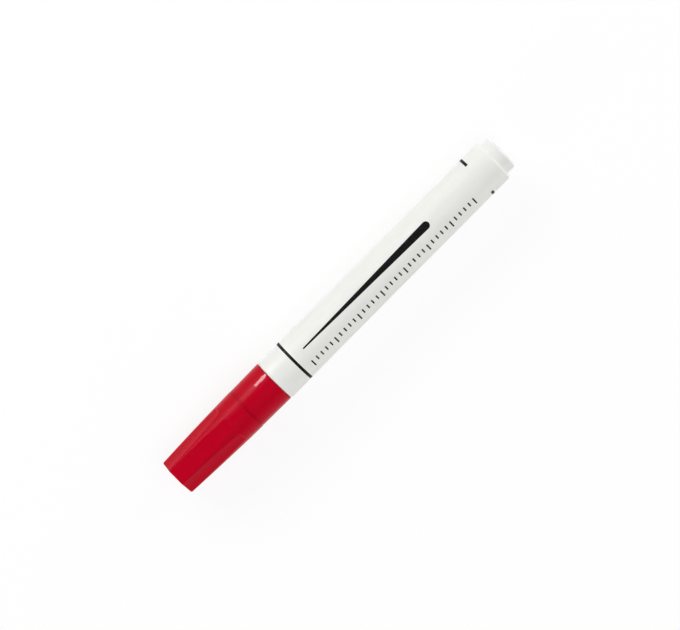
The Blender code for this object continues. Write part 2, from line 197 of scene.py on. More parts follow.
class ValveSizes(bpy.types.PropertyGroup):
    """Shape of the valve behind the nib."""
    seat_hole_radius: length("Seat hole", 1.7, "Radius of the hole in the valve seat")
    seat_cone_radius: length("Seat cone", 2.72, "Radius of the seat's cone")
    pin_radius: length("Pin radius", 1.3, "Radius of the stem's front pin")
    cone_start: length("Cone start", -26.2, "Where the stem's closing cone starts")
    head_rear: length("Head rear", -23.2, "Rear face of the stem's head")
    rod_radius: length("Rod radius", 1.1, "Radius of the stem's guide rod")
    cage_radius: length("Cage radius", 4.3, "Outer radius of the valve cage")
    cage_bore_radius: length("Cage bore", 3.4, "Inner radius of the valve cage")
    cage_wall: length("Cage wall", 1.6, "Thickness of the cage's end")
    cage_flange_front: length("Cage flange", -13.7, "Front face of the cage's flange")
    cage_flange_thickness: length("Cage flange thickness", 1.2, "Thickness of the cage's flange")
    guide_radius: length("Guide hole", 1.4, "Radius of the rod's hole")
    window: length("Window", 2.2, "Size of the cage's windows")
    windows: IntProperty(name="Windows", default=4, description="Number of windows")
    wire_radius: length("Wire radius", 0.25, "Radius of the spring's wire")
    coil_radius: length("Coil radius", 2.2, "Radius to the middle of the wire")
    curls: FloatProperty(name="Curls", default=6.5, description="Number of turns of the spring")


class PrintSizes(bpy.types.PropertyGroup):
    """Print on the barrel."""
    ring_width: length("Ring width", 0.96, "Width of the printed rings")
    front_ring: length("Front ring", -19.85, "Where the whole ring lies")
    rear_ring: length("Rear ring", 59.9, "Where the broken ring lies")
    gap_start: turn("Gap start", -39.0, "Where the rear ring breaks off")
    gap_end: turn("Gap end", 60.0, "Where the rear ring starts again")
    sample_start: length("Sample start", -15.0, "Thin end of the line sample")
    sample_end: length("Sample end", 38.0, "Thick end of the line sample")
    sample_turn: turn("Sample turn", -5.0, "Angle of the sample from straight up")
    sample_thin: length("Sample thin", 0.25, "Half width of the sample's thin end")
    sample_thick: length("Sample thick", 1.3, "Half width of the sample's thick end")
    scale_start: length("Scale start", -16.0, "Where the tick scale starts")
    scale_end: length("Scale end", 54.0, "Where the tick scale ends")
    scale_turn: turn("Scale turn", 30.0, "Angle of the scale from straight up")
    tick_pitch: length("Tick pitch", 2.0, "Spacing of the scale's ticks")
    tick_width: length("Tick width", 0.5, "Width of a tick")
    tick_height: length("Tick height", 1.7, "Height of a tick")
    long_tick_height: length("Long tick height", 2.7, "Height of every fifth tick")
    edge: length("Ink edge", 0.06, "Softness of the ink's edge")


class MarkerColours(bpy.types.PropertyGroup):
    """Colours of the marker."""
    cap_red: colour("Cap red", (0.485, 0.0006, 0.0150), "Red plastic of the cap")
    # Painted shade: the darker red painted on the collar at the foot of the step.
    shaded_red: colour("Shaded red", (0.40, 0.0008, 0.0138), "The cap where dust lies at its step")
    barrel_white: colour("Barrel white", (0.82, 0.82, 0.785), "White plastic of the barrel")
    plug_white: colour("Plug white", (0.82, 0.82, 0.80), "White plastic of the plug and the nose")
    print_black: colour("Print black", (0.004, 0.004, 0.0045), "Ink of the print")
    liner: colour("Liner", (0.70, 0.70, 0.66), "Soft plastic of the inner cap")
    felt: colour("Felt", (0.76, 0.71, 0.62), "Felt of the nib")
    rubber: colour("Rubber", (0.025, 0.025, 0.026), "Rubber of the valve seat")
    valve: colour("Valve", (0.60, 0.61, 0.58), "Plastic of the valve stem and cage")
    steel: colour("Steel", (0.56, 0.56, 0.55), "Steel of the spring and the ball")


GROUPS = {
    "marker_cap": CapSizes,
    "marker_barrel": BarrelSizes,
    "marker_section": SectionSizes,
    "marker_valve": ValveSizes,
    "marker_print": PrintSizes,
    "marker_colours": MarkerColours,
}


def arithmetic(operation, swapped=False):
    """A method that puts two shader values, or a value and a number, through one Math node."""
    def method(value, other):
        terms = (other, value) if swapped else (value, other)
        return value.math(operation, *terms)

    return method


class Value:
    """A shader value that can be used in Python arithmetic."""
    __add__ = __radd__ = arithmetic("ADD")
    __sub__ = arithmetic("SUBTRACT")
    __rsub__ = arithmetic("SUBTRACT", swapped=True)
    __mul__ = __rmul__ = arithmetic("MULTIPLY")
    __truediv__ = arithmetic("DIVIDE")
    __pow__ = arithmetic("POWER")
    largest = arithmetic("MAXIMUM")

    def __init__(self, nodes, socket):
        self.nodes = nodes
        self.socket = socket

    def math(self, operation, *terms, clamp=False):
        """The result of one Math node."""
        node = self.nodes.node("ShaderNodeMath", {"operation": operation, "use_clamp": clamp},
                               dict(enumerate(terms)))
        return Value(self.nodes, node.outputs[0])

    def __abs__(self):
        return self.math("ABSOLUTE", self)

    def clamped(self):
        """Kept between 0 and 1."""
        return self.math("ADD", self, 0, clamp=True)

    def fraction(self):
        """What is left of the value after its whole part."""
        return self.math("FRACT", self)

    def above(self, edge, soft):
        """1 where the value is past an edge, fading over a soft width."""
        return ((self - edge) / soft + 0.5).clamped()

    def between(self, low, high, soft):
        """1 inside a range, with soft ends."""
        return self.above(low, soft) * (1 - self.above(high, soft))


class Nodes:
    """A node tree, built in plain words."""

    def __init__(self, tree):
        self.tree = tree

    def node(self, kind, settings=None, sockets=None):
        """Add a node: its settings first, then the values or links of its sockets."""
        node = self.tree.nodes.new(kind)
        for key, value in (settings or {}).items():
            if key == "stops":
                for stop, (place, shade) in zip(node.color_ramp.elements, value):
                    stop.position = place
                    stop.color = shade
            else:
                setattr(node, key, value)
        self.feed(node, sockets or {})
        return node

    def feed(self, node, sockets):
        """Give a node's sockets, by number, name or identifier, their values or links."""
        for key, value in sockets.items():
            if isinstance(key, int):
                socket = node.inputs[key]
            else:
                socket = next(s for s in node.inputs if key in (s.identifier, s.name))
            if isinstance(value, Value):
                value = value.socket
            if isinstance(value, bpy.types.NodeSocket):
                self.tree.links.new(value, socket)
            else:
                socket.default_value = value

    def parts(self, vector):
        """A vector's x, y and z as values."""
        node = self.node("ShaderNodeSeparateXYZ", None, {0: vector})
        return [Value(self, socket) for socket in node.outputs]


class Finish(Nodes):
    """A procedural material on the Principled shader."""

    def __init__(self, name):
        self.material = bpy.data.materials.new(name)
        self.material.use_nodes = True
        super().__init__(self.material.node_tree)
        self.shader = self.tree.nodes["Principled BSDF"]
        self.output = self.tree.nodes["Material Output"]

    def surface(self, **sockets):
        """Feed the shader, with underscores for the spaces in its socket names."""
        self.feed(self.shader, {key.replace("_", " "): value for key, value in sockets.items()})

    def place(self):
        """The surface point in the piece's own coordinates."""
        return self.node("ShaderNodeTexCoord").outputs["Object"]

    def noise(self, scale, detail, vector=None):
        """Soft random value about its middle; scale is in spots per metre."""
        node = self.node("ShaderNodeTexNoise", None, {
            "Vector": vector or self.place(), "Scale": scale, "Detail": detail, "Roughness": 0.55})
        return Value(self, node.outputs[0])

    def streaks(self, scale, detail):
        """Noise with its own scale along each axis, in spots per metre."""
        node = self.node("ShaderNodeMapping", None, {"Vector": self.place(), "Scale": scale})
        return self.noise(1.0, detail, node.outputs[0])

    def mix(self, factor, first, second):
        """Blend two colours."""
        node = self.node("ShaderNodeMix", {"data_type": "RGBA"}, {
            "Factor_Float": factor, "A_Color": first, "B_Color": second})
        return next(s for s in node.outputs if s.identifier == "Result_Color")

    def bump(self, height, strength, distance):
        """Surface relief from a height value."""
        node = self.node("ShaderNodeBump", None, {
            "Height": height, "Strength": strength, "Distance": distance})
        return node.outputs[0]


def rgba(shade, factor=1.0):
    """A colour with its alpha, lighter or darker by a factor."""
    return (*(min(1.0, part * factor) for part in shade), 1.0)


def moulded(name, shade, roughness, grain, gloss, overlay=None, overlay_colour=None):
    """Moulded plastic: faint flow marks along the pen, uneven gloss, fine grain, and any print or painted
    shade laid over it.
    """
    dark, light = 0.965, 1.03
    flow_share, scuff_share = 0.7, 0.4
    patch_gloss, scuff_gloss, overlay_gloss = 0.4, 0.3, 0.12
    tone_width = 0.5
    finish = Finish(name)
    flow = finish.streaks((60, 420, 420), detail=3.0)
    patches = finish.noise(240.0, detail=2.0)
    grains = finish.noise(9000.0, detail=2.0)
    scuffs = finish.streaks((300, 3600, 3600), detail=4.0)
    tone = (flow * flow_share + patches * (1 - flow_share)).above(NOISE_MIDDLE, tone_width)
    plastic = finish.mix(tone, rgba(shade, dark), rgba(shade, light))
    unevenness = (patches - NOISE_MIDDLE) * patch_gloss + (scuffs - NOISE_MIDDLE) * scuff_gloss
    uneven = roughness * (1 + unevenness)
    # The overlay is print on the barrel and painted shade at the cap's step; it also roughens the
    # surface.
    if overlay:
        mask = overlay(finish)
        plastic = finish.mix(mask, plastic, rgba(overlay_colour))
        uneven = uneven + mask * overlay_gloss
    relief = grains * (1 - scuff_share) + scuffs * scuff_share
    finish.surface(
        Base_Color=plastic,
        Roughness=uneven,
        Normal=finish.bump(relief, strength=grain, distance=0.02 * MM),
        Specular_IOR_Level=gloss,
    )
    return finish


def cap_finish(colours, sizes):
    """Glossy red plastic, with painted shade along the collar at the foot of the step."""
    fade = 1.6
    shade_start, shade_edge = 0.03, 0.06

    # Painted shade: darkest just past the step, fading towards the mouth over a short reach.
    def dust_and_shade(finish):
        x = finish.parts(finish.place())[0]
        clear = ((x - CAP_END - sizes.step_from_end) / sizes.dust_and_shade_width).clamped()
        return (1 - clear) ** fade * clear.above(shade_start, shade_edge)

    finish = moulded("cap_red_plastic", colours.cap_red, roughness=0.34, grain=0.04, gloss=0.035,
                     overlay=dust_and_shade, overlay_colour=colours.shaded_red)
    finish.surface(Coat_Weight=1.0, Coat_Roughness=0.025, Coat_IOR=1.093)
    return finish.material


def barrel_ink(finish, sizes, radius):
    """Where the barrel is printed: two rings, a line sample and a tick scale."""
    x, y, z = finish.parts(finish.place())
    angle = x.math("ARCTAN2", 0 - y, z - AXIS_Z)
    round_barrel = angle * radius
    edge = sizes.edge
    half_ring = sizes.ring_width / 2
    front = x.between(sizes.front_ring - half_ring, sizes.front_ring + half_ring, edge)
    rear = x.between(sizes.rear_ring - half_ring, sizes.rear_ring + half_ring, edge)
    whole = 1 - angle.between(sizes.gap_start, sizes.gap_end, edge / radius)

    share = ((x - sizes.sample_start) / (sizes.sample_end - sizes.sample_start)).clamped()
    half = sizes.sample_thin + (sizes.sample_thick - sizes.sample_thin) * share
    across = abs(round_barrel - sizes.sample_turn * radius)
    sample = (half - across).above(0, edge) * x.between(sizes.sample_start, sizes.sample_end, edge)
    round_ends = ((sizes.sample_start, sizes.sample_thin), (sizes.sample_end, sizes.sample_thick))
    for place, end_radius in round_ends:
        distance = ((x - place) ** 2 + across ** 2) ** 0.5
        sample = sample.largest((end_radius - distance).above(0, edge))

    base = sizes.scale_turn * radius
    long_every = 5
    scale = x.between(sizes.scale_start - sizes.tick_width, sizes.scale_end + sizes.tick_width, edge)
    rows = []
    for every, height in ((1, sizes.tick_height), (long_every, sizes.long_tick_height)):
        pitch = sizes.tick_pitch * every
        off = abs(((x - sizes.scale_start) / pitch + 0.5).fraction() - 0.5) * pitch
        upright = round_barrel.between(base, base + height, edge)
        rows.append((sizes.tick_width / 2 - off).above(0, edge) * upright)
    ticks = scale * rows[0].largest(rows[1])

    thinnest, spot_level, spot_edge = 0.93, 0.36, 0.08
    overlay = front.largest(rear * whole).largest(sample).largest(ticks)
    covered = finish.noise(5200.0, detail=2.0).above(spot_level, spot_edge)
    return overlay * (thinnest + (1 - thinnest) * covered)


def barrel_finish(colours, sizes, barrel):
    """White plastic with black print."""
    def overlay(finish):
        return barrel_ink(finish, sizes, barrel.body_radius)

    return moulded("barrel_white_plastic", colours.barrel_white, roughness=0.34, grain=0.08, gloss=0.15,
                   overlay=overlay, overlay_colour=colours.print_black).material


def plug_finish(name, colours):
    """Plain white plastic of the plug and the front section."""
    return moulded(name, colours.plug_white, roughness=0.36, grain=0.12, gloss=0.28).material


def liner_finish(colours):
    """Soft waxy plastic."""
    finish = moulded("liner_soft_plastic", colours.liner, roughness=0.46, grain=0.06, gloss=0.4)
    finish.surface(Subsurface_Weight=0.15, Subsurface_Scale=0.6 * MM)
    return finish.material


def valve_finish(colours):
    """Natural plastic of the valve stem and cage."""
    return moulded("valve_natural_plastic", colours.valve, roughness=0.4, grain=0.06, gloss=0.4).material


def felt_finish(colours):
    """Pressed felt: short fibres along the nib, matt and uneven."""
    dark, light = 0.72, 1.1
    fibre_share, tone_width = 0.65, 0.4
    roughness, clump_gloss = 0.9, 0.1
    finish = Finish("nib_felt")
    fibres = finish.streaks((900, 6200, 6200), detail=4.0)
    clumps = finish.noise(900.0, detail=3.0)
    tone = (fibres * fibre_share + clumps * (1 - fibre_share)).above(NOISE_MIDDLE, tone_width)
    finish.surface(
        Base_Color=finish.mix(tone, rgba(colours.felt, dark), rgba(colours.felt, light)),
        Roughness=roughness + (clumps - NOISE_MIDDLE) * clump_gloss,
        Normal=finish.bump(fibres, strength=0.5, distance=0.08 * MM),
        Sheen_Weight=0.3,
    )
    return finish.material


def rubber_finish(colours):
    """Black rubber, slightly dusty."""
    dusty, dust_level, dust_and_shade_width = 2.0, 0.55, 0.3
    roughness, dust_gloss = 0.55, 0.25
    finish = Finish("seat_rubber")
    dust_and_shade = finish.noise(1500.0, detail=4.0)
    mask = dust_and_shade.above(dust_level, dust_and_shade_width)
    finish.surface(
        Base_Color=finish.mix(mask, rgba(colours.rubber), rgba(colours.rubber, dusty)),
        Roughness=roughness + dust_and_shade * dust_gloss,
        Normal=finish.bump(dust_and_shade, strength=0.15, distance=0.03 * MM),
    )
    return finish.material


def steel_finish(name, colours, roughness, scale):
    """Drawn or polished steel: fine streaks in gloss and tone."""
    dark, light, streak_gloss = 0.85, 1.15, 0.16
    finish = Finish(name)
    grain = finish.streaks(scale, detail=3.0)
    finish.surface(
        Base_Color=finish.mix(grain, rgba(colours.steel, dark), rgba(colours.steel, light)),
        Roughness=roughness + (grain - NOISE_MIDDLE) * streak_gloss,
        Metallic=1.0,
        Normal=finish.bump(grain, strength=0.05, distance=0.01 * MM),
    )
    return finish.material


def corner_arc(before, corner, after, radius):
    """Points that round off one corner of an outline, with one more close by on either side."""
    corner = Vector(corner[:2])
    back = Vector(before[:2]) - corner
    onward = Vector(after[:2]) - corner
    half = back.angle(onward) / 2
    most = 0.45
    beside = 1.08
    reach = min(radius / math.tan(half), back.length * most, onward.length * most)
    start = corner + back.normalized() * reach
    end = corner + onward.normalized() * reach
    points = [tuple(corner + back.normalized() * reach * beside)]
    for step in range(CORNER_STEPS + 1):
        share = step / CORNER_STEPS
        first = start.lerp(corner, share)
        second = corner.lerp(end, share)
        points.append(tuple(first.lerp(second, share)))
    points.append(tuple(corner + onward.normalized() * reach * beside))
    return points


def rounded(outline):
    """An outline of (x, radius) points, where a third number rounds that corner off."""
    closed = outline[0][1] > 0
    points = []
    for number, corner in enumerate(outline):
        inside = closed or 0 < number < len(outline) - 1
        if len(corner) == 3 and inside:
            after = outline[(number + 1) % len(outline)]
            points += corner_arc(outline[number - 1], corner, after, corner[2])
        else:
            points.append(tuple(corner[:2]))
    if closed:
        points.append(points[0])
    return points


def quarter(x, radius, reach, height, steps):
    """A quarter round from the outside at x to an end face; a negative reach goes towards the cap."""
    points = []
    for step in range(1, steps + 1):
        angle = math.pi / 2 * step / steps
        points.append((x + reach * math.sin(angle), radius - height * (1 - math.cos(angle))))
    return points


def select_only(piece):
    """Make a piece the only selected and active object."""
    bpy.ops.object.select_all(action="DESELECT")
    bpy.context.view_layer.objects.active = piece
    piece.select_set(True)


def edit_whole():
    """Enter edit mode with the whole mesh selected."""
    bpy.ops.object.mode_set(mode="EDIT")
    bpy.ops.mesh.select_all(action="SELECT")


def turned(name, outline, sides=SIDES):
    """Draw a half-section by extruding one point, then spin it round the pen's axis."""
    points = rounded(outline)
    bpy.ops.mesh.primitive_plane_add(size=MM, location=(points[0][0], 0, AXIS_Z + points[0][1]))
    bpy.ops.object.transform_apply()
    piece = bpy.context.object
    piece.name = name
    piece.data.name = name
    edit_whole()
    bpy.ops.mesh.merge(type="CENTER")
    for before, after in zip(points, points[1:]):
        shift = (after[0] - before[0], 0, after[1] - before[1])
        bpy.ops.mesh.extrude_region_move(TRANSFORM_OT_translate={"value": shift})
    bpy.ops.mesh.select_all(action="SELECT")
    bpy.ops.mesh.spin(steps=sides, angle=math.tau, center=AXIS, axis=(1, 0, 0))
    bpy.ops.mesh.select_all(action="SELECT")
    bpy.ops.mesh.remove_doubles(threshold=MERGE)
    bpy.ops.mesh.normals_make_consistent(inside=False)
    bpy.ops.object.mode_set(mode="OBJECT")
    return piece


def settle(piece, material, body, node):
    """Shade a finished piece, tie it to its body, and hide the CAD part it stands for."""
    select_only(piece)
    bpy.ops.object.shade_smooth_by_angle(angle=SMOOTH_ANGLE)
    piece.data.materials.clear()
    piece.data.materials.append(material)
    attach(piece, body)
    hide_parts(node)


def spread(start, end, spacing):
    """Evenly spaced values from start to end, both included."""
    count = max(1, round(abs(end - start) / spacing))
    return [start + (end - start) * step / count for step in range(count + 1)]


def cap_radius(sizes, x):
    """Radius of the cap's tapering body, flutes apart."""
    behind = CAP_END + sizes.step_from_end - x
    return sizes.collar_radius + sizes.step_height - sizes.taper * behind - sizes.swell * behind ** 2


def soft_least(first, second, soft):
    """The smaller of two lengths, with the corner between them eased."""
    share = min(1.0, max(0.0, 0.5 + 0.5 * (second - first) / soft))
    return second + (first - second) * share - soft * share * (1 - share)


def eased(value):
    """0 to 1 with eased ends."""
    value = min(1.0, max(0.0, value))
    return value * value * (3 - 2 * value)


def press_flutes(cap, sizes):
    """Press the grip flutes into the cap's outside."""
    inner = CAP_END + sizes.flute_length
    outer = CAP_END + sizes.edge_round
    reaches = []
    for x, half in ((inner, sizes.flute_inner_half), (outer, sizes.flute_outer_half)):
        full = cap_radius(sizes, x)
        edge = full * math.sin(half)
        reaches.append(full * math.cos(half) + math.sqrt(sizes.flute_hollow ** 2 - edge ** 2))
    slope = (reaches[1] - reaches[0]) / (outer - inner)
    pitch = math.tau / sizes.flutes
    wall_middle = (sizes.cavity_radius + sizes.bore_radius) / 2
    for vertex in cap.data.vertices:
        x = vertex.co.x
        spoke = Vector((vertex.co.y, vertex.co.z - AXIS_Z))
        outside = spoke.length > wall_middle or x < CAP_END + sizes.end_wall / 2
        if x > inner or not outside:
            continue
        body_x = max(x, outer)
        full = cap_radius(sizes, body_x)
        angle = math.atan2(-spoke.x, spoke.y) - sizes.flute_turn
        angle -= pitch * round(angle / pitch)
        reach = reaches[0] + slope * (body_x - inner)
        aside = reach * math.sin(angle)
        hollow = reach * math.cos(angle) - math.sqrt(sizes.flute_hollow ** 2 - aside ** 2)
        depth = full - soft_least(full, hollow, sizes.flute_edge)
        spoke *= 1 - depth / full * eased((inner - x) / sizes.flute_ramp)
        vertex.co.y = spoke.x
        vertex.co.z = AXIS_Z + spoke.y


class MARKER_OT_cap(bpy.types.Operator):
    """Turn the cap and press its grip flutes"""
    bl_idname = "marker.cap"
    bl_label = "Cap"

    def execute(self, context):
        sizes = context.scene.marker_cap
        mouth = BARREL_FRONT - sizes.mouth_gap
        step = CAP_END + sizes.step_from_end
        inner = CAP_END + sizes.flute_length
        edge = CAP_END + sizes.edge_round
        bore_end = CAP_MOUTH - sizes.bore_depth
        fine_end = inner - 2 * sizes.flute_ramp
        plain_rings, ramp_rings, flute_rings = 0.6 * MM, 0.08 * MM, 0.3 * MM
        rings = spread(step - CRISP, inner, plain_rings)
        rings += spread(inner, fine_end, ramp_rings)[1:]
        rings += spread(fine_end, edge, flute_rings)[1:]
        end_radius = cap_radius(sizes, edge) - sizes.edge_round
        outline = [
            (CAP_END + sizes.end_wall, 0),
            (CAP_END + sizes.end_wall, sizes.cavity_end_radius, SOFT),
            (bore_end, sizes.cavity_radius, CRISP),
            (bore_end, sizes.bore_radius, EASED),
            (mouth, sizes.bore_radius, EASED),
            (mouth, sizes.mouth_radius, EASED),
            (step + sizes.groove, sizes.collar_radius, FINE),
            (step + sizes.groove, sizes.collar_radius - sizes.groove),
            (step, sizes.collar_radius - sizes.groove),
            (step, cap_radius(sizes, step), FINE),
        ]
        outline += [(x, cap_radius(sizes, x)) for x in rings]
        outline += quarter(edge, cap_radius(sizes, edge), -sizes.edge_round, sizes.edge_round,
                           2 * CORNER_STEPS)
        outline += [(CAP_END, radius) for radius in spread(end_radius, sizes.gate_radius, SOFT)[1:-1]]
        outline += [
            (CAP_END, sizes.gate_radius, FINE),
            (CAP_END + sizes.gate_depth, sizes.gate_radius - sizes.gate_depth, FINE),
            (CAP_END + sizes.gate_depth, 0),
        ]
        cap = turned("cap_shell", outline, CAP_SIDES)
        press_flutes(cap, sizes)
        settle(cap, cap_finish(context.scene.marker_colours, sizes), "cap", "cap")
        return {"FINISHED"}


class MARKER_OT_inner_cap(bpy.types.Operator):
    """Turn the soft liner inside the cap"""
    bl_idname = "marker.inner_cap"
    bl_label = "Inner cap"

    def execute(self, context):
        sizes = context.scene.marker_cap
        cavity_length = CAP_MOUTH - sizes.bore_depth - CAP_END - sizes.end_wall
        slope = (sizes.cavity_radius - sizes.cavity_end_radius) / cavity_length
        end_radius = LINER_RADIUS - slope * (LINER_MOUTH - LINER_END)
        liner = turned("liner_cup", [
            (LINER_END + sizes.liner_wall, 0),
            (LINER_END + sizes.liner_wall, sizes.liner_end_radius, 2 * SOFT),
            (LINER_MOUTH - sizes.liner_neck_depth, sizes.liner_neck_radius, 4 * SOFT),
            (LINER_MOUTH, sizes.liner_mouth_radius, EASED),
            (LINER_MOUTH, LINER_RADIUS, EASED),
            (LINER_END, end_radius, SOFT),
            (LINER_END, 0),
        ])
        settle(liner, liner_finish(context.scene.marker_colours), "cap", "inner_cap")
        return {"FINISHED"}


class MARKER_OT_barrel(bpy.types.Operator):
    """Turn the printed barrel"""
    bl_idname = "marker.barrel"
    bl_label = "Barrel"

    def execute(self, context):
        scene = context.scene
        sizes = scene.marker_barrel

        def radius(x):
            flare = BARREL_RADIUS - sizes.body_radius
            return sizes.body_radius + flare * math.exp((BARREL_FRONT - x) / sizes.flare_length)

        ring_spacing = 2 * MM
        lip_steps = 14
        recess_end = BARREL_FRONT + sizes.recess_depth
        lip_start = BARREL_REAR - sizes.lip_length
        plug_seat = PLUG_RADIUS + sizes.plug_gap
        lip_height = radius(lip_start) - sizes.bore_radius
        outline = [
            (recess_end, sizes.bore_radius, CRISP),
            (recess_end, sizes.recess_radius, CRISP),
            (BARREL_FRONT, sizes.recess_radius, CRISP),
        ]
        front = BARREL_FRONT + sizes.front_length
        front_arc = quarter(front, radius(front), -sizes.front_length, sizes.front_height, lip_steps)
        outline += reversed(front_arc)
        outline += [(x, radius(x)) for x in spread(front, lip_start, ring_spacing)]
        outline += quarter(lip_start, radius(lip_start), sizes.lip_length, lip_height, lip_steps)
        outline += [
            (BARREL_REAR, plug_seat, FINE),
            (lip_start, plug_seat),
            (lip_start - sizes.lip_length, sizes.bore_radius),
        ]
        barrel = turned("barrel_tube", outline)
        finish = barrel_finish(scene.marker_colours, scene.marker_print, sizes)
        settle(barrel, finish, "barrel", "barrel")
        return {"FINISHED"}


class MARKER_OT_rear_plug(bpy.types.Operator):
    """Turn the plug in the barrel's rear end"""
    bl_idname = "marker.rear_plug"
    bl_label = "Rear plug"

    def execute(self, context):
        sizes = context.scene.marker_barrel
        dome = PLUG_END - sizes.plug_dome
        plug = turned("plug_cup", [
            (PLUG_END - sizes.plug_wall, 0),
            (PLUG_END - sizes.plug_wall, sizes.plug_cavity_radius, SOFT),
            (PLUG_FRONT, sizes.plug_cavity_radius, EASED),
            (PLUG_FRONT, PLUG_RADIUS - sizes.plug_chamfer, EASED),
            (PLUG_FRONT + sizes.plug_chamfer, PLUG_RADIUS, EASED),
            (dome, PLUG_RADIUS),
            *quarter(dome, PLUG_RADIUS, sizes.plug_dome, sizes.plug_round, 3 * CORNER_STEPS),
            (PLUG_END, sizes.gate_radius, FINE),
            (PLUG_END - sizes.gate_depth, sizes.gate_radius - sizes.gate_depth, FINE),
            (PLUG_END - sizes.gate_depth, 0),
        ])
        finish = plug_finish("plug_white_plastic", context.scene.marker_colours)
        settle(plug, finish, "barrel", "rear_plug")
        return {"FINISHED"}


class MARKER_OT_front_section(bpy.types.Operator):
    """Turn the nose that holds the nib and the valve"""
    bl_idname = "marker.front_section"
    bl_label = "Front section"

    def execute(self, context):
        sizes = context.scene.marker_section
        flange_rear = BARREL_FRONT + sizes.flange_thickness
        bead_slope = 2 * (sizes.bead_radius - sizes.neck_radius)
        bead_start = sizes.bead_middle - sizes.bead_half_width
        bead_end = sizes.bead_middle + sizes.bead_half_width
        section = turned("section_nose", [
            (SECTION_TIP, sizes.nib_bore_radius, CRISP),
            (SECTION_TIP, sizes.tip_radius, sizes.tip_round),
            (sizes.cone_end, sizes.cone_radius, sizes.cone_round),
            (sizes.neck_start, sizes.neck_radius, SOFT),
            (bead_start, sizes.neck_radius, EASED),
            (bead_start + bead_slope, sizes.bead_radius, EASED),
            (bead_end - bead_slope, sizes.bead_radius, EASED),
            (bead_end, sizes.neck_radius, EASED),
            (BARREL_FRONT, sizes.neck_radius, EASED),
            (BARREL_FRONT, FLANGE_RADIUS, CRISP),
            (flange_rear, FLANGE_RADIUS, CRISP),
            (flange_rear, sizes.spigot_radius, CRISP),
            (SECTION_END, sizes.spigot_radius, SOFT),
            (SECTION_END, sizes.valve_bore_radius, CRISP),
            (sizes.shoulder, sizes.valve_bore_radius, CRISP),
            (sizes.shoulder, sizes.nib_bore_radius, CRISP),
        ])
        finish = plug_finish("section_white_plastic", context.scene.marker_colours)
        settle(section, finish, "barrel", "front_section")
        return {"FINISHED"}


class MARKER_OT_nib(bpy.types.Operator):
    """Turn the felt nib with its bullet tip"""
    bl_idname = "marker.nib"
    bl_label = "Nib"

    def execute(self, context):
        sizes = context.scene.marker_section
        dome_steps = 12
        tip_end = NIB_TIP + sizes.nib_cone_length
        outline = [(NIB_TIP, 0)]
        for step in range(1, dome_steps + 1):
            angle = sizes.nib_dome_edge * step / dome_steps
            outline.append((NIB_TIP + sizes.nib_dome_radius * (1 - math.cos(angle)),
                            sizes.nib_dome_radius * math.sin(angle)))
        outline += [
            (tip_end, NIB_RADIUS, sizes.nib_cone_round),
            (NIB_REAR, NIB_RADIUS, CRISP),
            (NIB_REAR, 0),
        ]
        nib = turned("nib_rod", outline)
        settle(nib, felt_finish(context.scene.marker_colours), "nib", "nib")
        return {"FINISHED"}


def cut_windows(cage, sizes, middle):
    """Cut the paint windows through the cage's wall."""
    wall = sizes.cage_radius - sizes.cage_bore_radius
    reach = (sizes.cage_radius + sizes.cage_bore_radius) / 2
    for number in range(sizes.windows):
        angle = math.tau * number / sizes.windows
        spot = AXIS + Vector((middle, -reach * math.sin(angle), reach * math.cos(angle)))
        bpy.ops.mesh.primitive_cube_add(size=1, location=spot, rotation=(angle, 0, 0),
                                        scale=(sizes.window, sizes.window, 2 * wall))
        cutter = bpy.context.object
        cut = cage.modifiers.new("window", "BOOLEAN")
        cut.operation = "DIFFERENCE"
        cut.object = cutter
        select_only(cage)
        bpy.ops.object.modifier_apply(modifier=cut.name)
        bpy.data.objects.remove(cutter, do_unlink=True)


class MARKER_OT_valve(bpy.types.Operator):
    """Turn the valve's seat, stem and cage"""
    bl_idname = "marker.valve"
    bl_label = "Valve"

    def execute(self, context):
        sizes = context.scene.marker_valve
        colours = context.scene.marker_colours
        cone_start = SEAT_REAR - (sizes.seat_cone_radius - sizes.seat_hole_radius)
        seat = turned("seat_ring", [
            (SEAT_FRONT, sizes.seat_hole_radius, CRISP),
            (SEAT_FRONT, SEAT_RADIUS, EASED),
            (SEAT_REAR, SEAT_RADIUS, EASED),
            (SEAT_REAR, sizes.seat_cone_radius, CRISP),
            (cone_start, sizes.seat_hole_radius, CRISP),
        ])
        settle(seat, rubber_finish(colours), "barrel", "valve_seat")

        plastic = valve_finish(colours)
        cone_end = sizes.cone_start + STEM_HEAD_RADIUS - sizes.pin_radius
        stem = turned("stem_plunger", [
            (STEM_FRONT, 0),
            (STEM_FRONT, sizes.pin_radius, EASED),
            (sizes.cone_start, sizes.pin_radius, EASED),
            (cone_end, STEM_HEAD_RADIUS, EASED),
            (sizes.head_rear, STEM_HEAD_RADIUS, EASED),
            (sizes.head_rear, sizes.rod_radius, EASED),
            (STEM_END, sizes.rod_radius, SOFT),
            (STEM_END, 0),
        ])
        settle(stem, plastic, "valve_stem", "valve_stem")

        flange_rear = sizes.cage_flange_front + sizes.cage_flange_thickness
        wall = CAGE_REAR - sizes.cage_wall
        cage = turned("cage_cup", [
            (CAGE_FRONT, sizes.cage_bore_radius, CRISP),
            (CAGE_FRONT, sizes.cage_radius, EASED),
            (sizes.cage_flange_front, sizes.cage_radius, CRISP),
            (sizes.cage_flange_front, CAGE_FLANGE_RADIUS, CRISP),
            (flange_rear, CAGE_FLANGE_RADIUS, CRISP),
            (flange_rear, sizes.cage_radius, CRISP),
            (CAGE_REAR, sizes.cage_radius, SOFT),
            (CAGE_REAR, sizes.guide_radius, EASED),
            (wall, sizes.guide_radius, CRISP),
            (wall, sizes.cage_bore_radius, EASED),
        ])
        cut_windows(cage, sizes, (flange_rear + wall) / 2)
        settle(cage, plastic, "barrel", "valve_cage")
        return {"FINISHED"}


